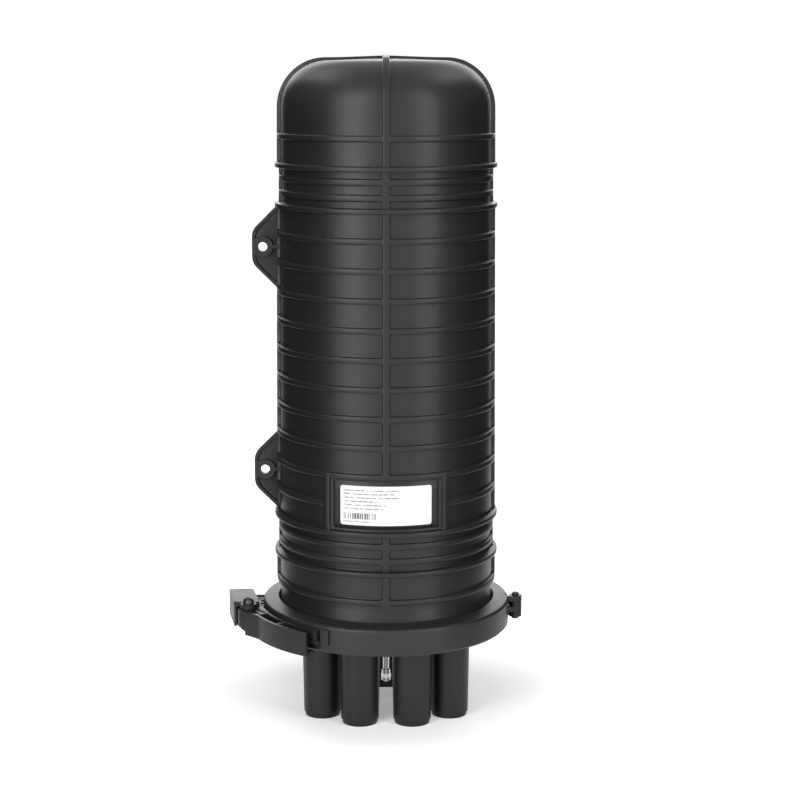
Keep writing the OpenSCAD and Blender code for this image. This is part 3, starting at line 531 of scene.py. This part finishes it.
def dome_mesh(size, columns):
    """The dome as one closed mesh: crown, ribbed wall, flange and cavity."""
    shape = DomeShape(size)
    rings = []

    def ring(r, z, angles, out=None, lean=(1.0, 0.0)):
        x, y = r * np.sin(angles), -r * np.cos(angles)
        up = np.zeros(len(angles)) if out is None else out(x, y)
        rr = r + up * lean[0]
        rings.append(np.stack([rr * np.sin(angles), -rr * np.cos(angles),
                               z + up * lean[1]], 1))

    x0 = shape.wall_r(shape.shoulder_z) - shape.shoulder
    for r in (4.2, 5.2, 6.2, 7.4, 9, 11, 14, 18, 23, 29, 36, 43, 50):
        slope = 2 / x0
        z = shape.shell_top - slope * r
        ring(r, z, dome_angles(shape, r, columns), shape.crown_height, (slope, 1.0))
    for k in range(21):
        a = math.radians(90 - 90 * k / 20)
        r = x0 + shape.shoulder * math.cos(a)
        ring(r, shape.shoulder_z + shape.shoulder * math.sin(a),
             dome_angles(shape, r, columns), shape.crown_height, (math.cos(a), math.sin(a)))
    rows = []
    for c, w, _ in shape.ribs:
        for s in RIB_STEPS:
            rows += [c - w / 2 + s, c + w / 2 - s]
    for (a, _, _), (b, _, _) in zip(shape.ribs, shape.ribs[1:]):
        rows += [(a + b) / 2] if b - a > 15 else []
    low, high = shape.label[0] + 2.2, shape.label[1] - 2.5
    rows += [low + 0.3, low + 2.8, low + 3.4, high - 0.3, high - 2.8, high - 3.4]
    rows += [shape.last + 8, shape.last + 16]
    kept = {round(z, 3) for z in rows if shape.first - 4.2 < z < shape.shoulder_z}
    for z in sorted(kept, reverse=True):
        r = shape.wall_r(z)
        ring(r, z, dome_angles(shape, r, columns), partial(shape.height, z))
    plain = dome_angles(shape, shape.r, columns)
    joint = shape.joint
    # the foot of the wall, the wedge flange and the lower rim, as (radius, height) from the
    # plain wall and the joint
    foot = ((-1.7, 27), (-1.6, 23.5), (-1.4, 22.6), (-0.7, 15), (-0.4, 13.6), (-0.4, 9.8),
            (0.3, 9.2), (9.4, 6.6), (9.8, 6.1), (9.8, 0.4), (9.4, 0),
            (0.3 - shape.wall, 0), (-shape.wall, 0.3))
    for out, up in foot:
        ring(shape.r + out, joint + up, plain)
    for k in range(6):
        z = joint + (shape.shoulder_z - joint) * (k + 0.2) / 5.2
        ring(shape.wall_r(z) - shape.wall, z, plain)
    for k in range(1, 11):
        a = math.radians(9 * k)
        ring(x0 + (shape.shoulder - shape.wall) * math.cos(a),
             shape.shoulder_z + (shape.shoulder - shape.wall) * math.sin(a), plain)
    ring(20, shape.shell_top - shape.wall - 0.5, plain)
    count = len(plain)
    points = np.concatenate(rings + [np.array([
        [0, 0, shape.shell_top + shape.upright_h], [0, 0, shape.shell_top - shape.wall]])])
    faces = []
    for i in range(len(rings) - 1):
        for j in range(count):
            k = (j + 1) % count
            faces.append((i * count + j, i * count + k, (i + 1) * count + k, (i + 1) * count + j))
    top, under = len(points) - 2, len(points) - 1
    last = (len(rings) - 1) * count
    faces += [(top, (j + 1) % count, j) for j in range(count)]
    faces += [(under, last + j, last + (j + 1) % count) for j in range(count)]
    mesh = bpy.data.meshes.new("dome_shell")
    mesh.from_pydata((points * MM).tolist(), [], faces)
    work = bmesh.new()
    work.from_mesh(mesh)
    bmesh.ops.recalc_face_normals(work, faces=work.faces)
    work.to_mesh(mesh)
    work.free()
    mesh.update()
    return mesh


def outline_distance(polygon, a):
    """Distance from the origin to a polygon's edge along angle a."""
    best = 1e9
    c, s = math.cos(a), math.sin(a)
    for (x0, z0), (x1, z1) in zip(polygon, polygon[1:] + polygon[:1]):
        dx, dz = x1 - x0, z1 - z0
        det = c * dz - s * dx
        if abs(det) < 1e-9:
            continue
        t = (x0 * dz - z0 * dx) / det
        u = (x0 * s - z0 * c) / det
        if t > 0 and -1e-6 <= u <= 1 + 1e-6:
            best = min(best, t)
    return best


def ear_mesh(shape, heights):
    """The hanging ears: a raised rim and a boss round the hole, on a thin web."""
    boss, hole, rim, half, web = 9.8, 4.25, 3.3, 3.5, 1.5
    centre_x = shape.r + 13.1
    foot = shape.wall_r(heights[0]) - centre_x
    root = foot - shape.wall / 2

    def outline(d):
        corners = [(root, 39 - 1.4 * d), (foot, 39 - 1.4 * d), (9.8 - d, 15 - 0.4 * d),
                   (9.8 - d, -15 + 0.4 * d), (foot, -39 + 1.4 * d), (root, -39 + 1.4 * d)]
        points = []
        for i, (x, z) in enumerate(corners):
            if i not in (2, 3):
                points.append((x, z))
                continue
            p, q, s = Vector((x, z)), Vector(corners[i - 1]), Vector(corners[i + 1])
            u, v = (q - p).normalized() * 6, (s - p).normalized() * 6
            points += [tuple(p + u * (1 - k / 5) ** 2 + v * (k / 5) ** 2) for k in range(6)]
        return points

    outer, inner = outline(0), outline(rim)
    angles = {2 * math.pi * k / 96 for k in range(96)}
    for x, z in outer + inner:
        a = math.atan2(z, x) % (2 * math.pi)
        angles |= {a, (a + 0.004) % (2 * math.pi)}
    angles = sorted(angles)
    points, faces = [], []
    for z0 in heights:
        start = len(points)
        rings = 12
        for a in angles:
            r_out, r_in = outline_distance(outer, a), outline_distance(inner, a)
            if r_out - r_in < 0.5:  # towards the dome there is no rim
                r_in, edge = r_out, web
            else:
                edge = half
            if r_in < boss + 0.4:
                steps = [(hole, half - 0.4), (hole + 0.4, half)]
                steps += [(boss - 1 + (r_out - boss) * k / 9, half) for k in range(8)]
                steps += [(r_out - 0.6, half), (r_out, half - 0.6)]
            else:
                steps = [(hole, half - 0.4), (hole + 0.4, half), (boss - 0.5, half),
                         (boss, half - 0.5), (boss + 0.1, web + 0.2), (boss + 0.4, web),
                         (max(boss + 0.5, r_in - 0.4), web), (r_in - 0.05, min(edge, web + 0.3)),
                         (r_in, max(web, edge - 0.5)), (min(r_in + 0.5, r_out), edge),
                         (max(r_out - 0.6, r_in), edge), (r_out, max(web, edge - 0.6))]
            for side in (-1, 1):
                for d, t in steps:
                    points.append((-centre_x - d * math.cos(a), side * t, z0 + d * math.sin(a)))
        stride = 2 * rings
        n = len(angles)
        for i in range(n):
            a, b = start + i * stride, start + (i + 1) % n * stride
            for k in range(rings - 1):
                faces.append((a + k, a + k + 1, b + k + 1, b + k))
                faces.append((a + rings + k, b + rings + k, b + rings + k + 1, a + rings + k + 1))
            faces.append((a, b, b + rings, a + rings))
            faces.append((a + rings - 1, a + stride - 1, b + stride - 1, b + rings - 1))
        # the short rib between boss and dome
        first = len(points)
        for x in (boss - 0.5, -root):
            for y, z in ((-half + 0.3, 1.6), (-half, 1.2), (-half, -1.2), (-half + 0.3, -1.6),
                         (half - 0.3, -1.6), (half, -1.2), (half, 1.2), (half - 0.3, 1.6)):
                points.append((-centre_x + x, y, z0 + z))
        faces += [tuple(first + k for k in range(8)), tuple(first + 15 - k for k in range(8))]
        faces += [(first + k, first + (k + 1) % 8, first + 8 + (k + 1) % 8, first + 8 + k)
                  for k in range(8)]
    mesh = bpy.data.meshes.new("hanging_ears")
    mesh.from_pydata([tuple(c * MM for c in p) for p in points], [], faces)
    work = bmesh.new()
    work.from_mesh(mesh)
    bmesh.ops.recalc_face_normals(work, faces=work.faces)
    work.to_mesh(mesh)
    work.free()
    mesh.update()
    return mesh


class CLOSURE_OT_dome(bpy.types.Operator):
    """Builds the ribbed dome and its hanging ears"""

    bl_idname = "closure.dome"
    bl_label = "Dome"

    def execute(self, context):
        size, studio = context.scene.closure_dome, context.scene.closure_studio
        shell = new_piece("dome_shell", dome_mesh(size, studio.columns))
        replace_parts(dress(shell, "dome_plastic"), "dome")
        shell.data.set_sharp_from_angle(angle=math.radians(50))
        ears = new_piece("hanging_ears", ear_mesh(DomeShape(size), (225, 433)))
        dress(ears, "dome_plastic").data.set_sharp_from_angle(angle=math.radians(40))
        return {"FINISHED"}


class CLOSURE_OT_label(bpy.types.Operator):
    """Finishes the blank-printed label on the dome's front"""

    bl_idname = "closure.label"
    bl_label = "Label"

    def execute(self, context):
        label = dress(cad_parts["label"], "label_film")
        label.data.set_sharp_from_angle(angle=math.radians(30))
        return {"FINISHED"}


class CLOSURE_OT_base(bpy.types.Operator):
    """Finishes the base with its cable ports, and the sealing ring"""

    bl_idname = "closure.base"
    bl_label = "Base and ports"

    def execute(self, context):
        width = context.scene.closure_finish.edge_radius
        soften(dress(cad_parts["base"], "base_plastic"), width)
        dress(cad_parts["seal_ring"], "seal_rubber")
        return {"FINISHED"}


class CLOSURE_OT_clamp(bpy.types.Operator):
    """Finishes both halves of the clamp ring and the latch"""

    bl_idname = "closure.clamp"
    bl_label = "Clamp ring and latch"

    def execute(self, context):
        width = context.scene.closure_finish.edge_radius
        for name in ("clamp_rear", "clamp_front", "latch_link", "latch_lever"):
            soften(dress(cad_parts[name], "clamp_plastic"), width)
        return {"FINISHED"}


class CLOSURE_OT_fasteners(bpy.types.Operator):
    """Finishes pins, screws, nuts and the earth stud"""

    bl_idname = "closure.fasteners"
    bl_label = "Fasteners and earth stud"

    def execute(self, context):
        groups = {
            "black_steel": ("hinge_pin", "lever_screw", "link_pin", "lever_nut"),
            "bright_steel": ("earth_stud", "earth_cap_nut", "earth_washer", "earth_inner_nut"),
            "steel": ("tray_bracket", "bracket_screws", "strength_clamps", "strength_screws"),
        }
        for name, nodes in groups.items():
            for node in nodes:
                soften(dress(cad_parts[node], name), 0.3 * MM)
        return {"FINISHED"}


class CLOSURE_OT_trays(bpy.types.Operator):
    """Finishes the splice trays and what holds them inside the dome"""

    bl_idname = "closure.trays"
    bl_label = "Splice trays"

    def execute(self, context):
        for node in ("storage_basket", "tray_carrier", *[f"splice_tray_{k}" for k in range(1, 7)]):
            dress(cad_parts[node], "tray_plastic").data.set_sharp_from_angle(
                angle=math.radians(30))
        dress(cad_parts["tray_cover"], "clear_plastic").data.set_sharp_from_angle(
            angle=math.radians(30))
        dress(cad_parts["tray_strap"], "strap_fabric").data.set_sharp_from_angle(
            angle=math.radians(30))
        return {"FINISHED"}


# ---- Stage ---------------------------------------------------------------------------


def softbox(name, radiance, width, height, place, target):
    """A soft rectangular lamp that shows this radiance, aimed at a point."""
    data = bpy.data.lights.new(name, "AREA")
    data.shape = "RECTANGLE"
    data.size, data.size_y = width, height
    data.energy = radiance * math.pi * width * height
    lamp = bpy.data.objects.new(name, data)
    bpy.context.scene.collection.objects.link(lamp)
    lamp.location = place
    lamp.rotation_euler = (Vector(target) - Vector(place)).to_track_quat("-Z", "Y").to_euler()
    lamp.visible_camera = False
    return lamp


def black_flag(name, side, height):
    """A black card along one edge of the frame, which keeps that side's white background
    out of the plastic's outline. It runs from beside the object to well behind it."""
    near, far = (0.34, -0.3), (0.84, 1.8)
    mesh = bpy.data.meshes.new(name)
    mesh.from_pydata([(side * x, y, z) for (x, y), z in (
        (near, 0), (far, 0), (far, height), (near, height))], [], [(0, 1, 2, 3)])
    material, tree, out = fresh_material("Black foam board")
    board = add(tree, "ShaderNodeBsdfDiffuse", {}, {"Color": (*linear("#1c1c1c"), 1)})
    tree.links.new(board.outputs["BSDF"], out.inputs["Surface"])
    mesh.materials.append(material)
    card = bpy.data.objects.new(name, mesh)
    bpy.context.scene.collection.objects.link(card)
    card.visible_camera = card.visible_transmission = card.visible_shadow = False


def floor_mesh():
    """A floor of fine tiles, large enough to reach past every view."""
    mesh = bpy.data.meshes.new("studio_floor")
    work = bmesh.new()
    bmesh.ops.create_grid(work, x_segments=8, y_segments=8, size=6)
    work.to_mesh(mesh)
    work.free()
    return mesh


def background_rays(tree):
    """1 for the rays that show the white background: direct, reflected or through a clear part."""
    rays = add(tree, "ShaderNodeLightPath")
    direct = add(tree, "ShaderNodeMath", {"operation": "MAXIMUM"}, {
        0: rays.outputs["Is Camera Ray"], 1: rays.outputs["Is Transmission Ray"]})
    return add(tree, "ShaderNodeMath", {"operation": "MAXIMUM"}, {
        0: direct.outputs[0], 1: rays.outputs["Is Glossy Ray"]})


def paper_floor():
    """Matt white paper that keeps the shadow, and throws little light back at the object. Its glow
    is dimmer near the object, which paints a shadow round it on top of the real one.
    """
    material, tree, out = fresh_material("White background paper")
    place = add(tree, "ShaderNodeTexCoord").outputs["Object"]
    fibre = add(tree, "ShaderNodeTexNoise", {}, {
        "Vector": place, "Scale": scale_of(8), "Detail": 3.0})
    colour = add(tree, "ShaderNodeMix", {"data_type": "RGBA"}, {
        "Factor": fibre.outputs["Fac"], "A": (*linear("#e4e4e4"), 1),
        "B": (*linear("#e9e9e9"), 1)})
    paper = add(tree, "ShaderNodeBsdfDiffuse", {}, {"Color": colour.outputs["Result"]})
    away = add(tree, "ShaderNodeVectorMath", {"operation": "LENGTH"}, {0: place})
    # painted shadow: the glow fades from 0.95 down to 0.3 within 0.34 m of the middle, darkening
    # the paper round the object on top of the real shadow it keeps
    glow_painted_shadow = add(tree, "ShaderNodeMapRange", {"interpolation_type": "SMOOTHSTEP"}, {
        "Value": away.outputs["Value"], "From Min": 0.08, "From Max": 0.34,
        "To Min": 0.3, "To Max": 0.95})
    glow = add(tree, "ShaderNodeEmission", {}, {
        "Color": (1, 1, 1, 1), "Strength": glow_painted_shadow.outputs["Result"]})
    lit = add(tree, "ShaderNodeAddShader", {}, {
        0: paper.outputs["BSDF"], 1: glow.outputs["Emission"]})
    seen = background_rays(tree)
    shade = add(tree, "ShaderNodeBsdfDiffuse", {}, {"Color": (*linear("#8c8c8c"), 1)})
    mixed = add(tree, "ShaderNodeMixShader", {}, {
        "Fac": seen.outputs[0], 1: shade.outputs["BSDF"], 2: lit.outputs["Shader"]})
    tree.links.new(mixed.outputs["Shader"], out.inputs["Surface"])
    return material


def studio_world(ambient):
    """A dim room that shows as a white background, directly and in reflections."""
    world = bpy.data.worlds.new("Studio")
    world.use_nodes = True
    tree = world.node_tree
    tree.nodes.clear()
    seen = background_rays(tree)
    strength = add(tree, "ShaderNodeMix", {"data_type": "FLOAT"}, {
        "Factor": seen.outputs[0], "A": ambient, "B": 1.0})
    back = add(tree, "ShaderNodeBackground", {}, {
        "Color": (1, 1, 1, 1), "Strength": strength.outputs["Result"]})
    out = add(tree, "ShaderNodeOutputWorld")
    tree.links.new(back.outputs["Background"], out.inputs["Surface"])
    return world


class CLOSURE_OT_stage(bpy.types.Operator):
    """Sets up the floor, the lamps and the camera"""

    bl_idname = "closure.stage"
    bl_label = "Stage"

    def execute(self, context):
        scene, studio = context.scene, context.scene.closure_studio
        floor = bpy.data.objects.new("studio_floor", floor_mesh())
        scene.collection.objects.link(floor)
        floor.location.z = -0.02 * MM
        floor.data.materials.append(paper_floor())
        middle = (0, 0, 0.32)  # about half way up the closure
        # name, radiance, width and height in metres, place in metres
        for name, radiance, width, height, place in (
                ("left", studio.left_box, 0.8, 1.7, (-0.95, -1.35, 0.85)),
                ("right", studio.right_box, 0.8, 1.7, (1.25, -1.1, 0.85)),
                ("top_left", studio.top_box, 0.9, 0.9, (-1.0, 0.35, 1.5)),
                ("top_right", studio.top_box * 0.8, 0.9, 0.9, (1.0, 0.35, 1.5)),
                ("back", studio.back_box, 2.6, 1.0, (0, 2.2, 0.95)),
                ("front", studio.front_box, 1.2, 1.6, (0.1, -2.2, 0.9))):
            softbox(f"softbox_{name}", radiance, width, height, place, middle)
        for name, side in (("flag_left", -1), ("flag_right", 1)):
            black_flag(name, side, 0.95)
        scene.world = studio_world(studio.ambient)
        data = bpy.data.cameras.new("camera")
        data.lens, data.sensor_width, data.shift_x = studio.lens, 36, studio.shift
        data.clip_end = 50
        camera = bpy.data.objects.new("camera", data)
        scene.collection.objects.link(camera)
        camera.location = (0, -studio.distance, studio.height)
        camera.rotation_euler = (math.pi / 2 - studio.pitch, 0, 0)
        scene.camera = camera
        scene.view_settings.view_transform = "Standard"
        return {"FINISHED"}


# ---- Add-on --------------------------------------------------------------------------

PIECES = (CLOSURE_OT_dome, CLOSURE_OT_label, CLOSURE_OT_base, CLOSURE_OT_clamp,
          CLOSURE_OT_fasteners, CLOSURE_OT_trays, CLOSURE_OT_stage)


class CLOSURE_PT_panel(bpy.types.Panel):
    """Lists the closure's pieces in the order in which they are built"""

    bl_idname = "CLOSURE_PT_panel"
    bl_label = "Dome splice closure"
    bl_space_type = "VIEW_3D"
    bl_region_type = "UI"
    bl_category = "Closure"

    def draw(self, context):
        for piece in PIECES:
            self.layout.operator(piece.bl_idname)
        for group in (context.scene.closure_dome, context.scene.closure_finish,
                      context.scene.closure_studio):
            box = self.layout.box()
            for name in group.__annotations__:
                box.prop(group, name)


CLASSES = (DomeSizes, Finish, Studio, *PIECES, CLOSURE_PT_panel)


def register():
    for each in CLASSES:
        bpy.utils.register_class(each)
    bpy.types.Scene.closure_dome = PointerProperty(type=DomeSizes)
    bpy.types.Scene.closure_finish = PointerProperty(type=Finish)
    bpy.types.Scene.closure_studio = PointerProperty(type=Studio)


def unregister():
    del bpy.types.Scene.closure_studio
    del bpy.types.Scene.closure_finish
    del bpy.types.Scene.closure_dome
    for each in reversed(CLASSES):
        bpy.utils.unregister_class(each)


def main():
    register()
    bpy.ops.closure.dome()
    bpy.ops.closure.label()
    bpy.ops.closure.base()
    bpy.ops.closure.clamp()
    bpy.ops.closure.fasteners()
    bpy.ops.closure.trays()
    bpy.ops.closure.stage()


if __name__ == "__main__":
    main()
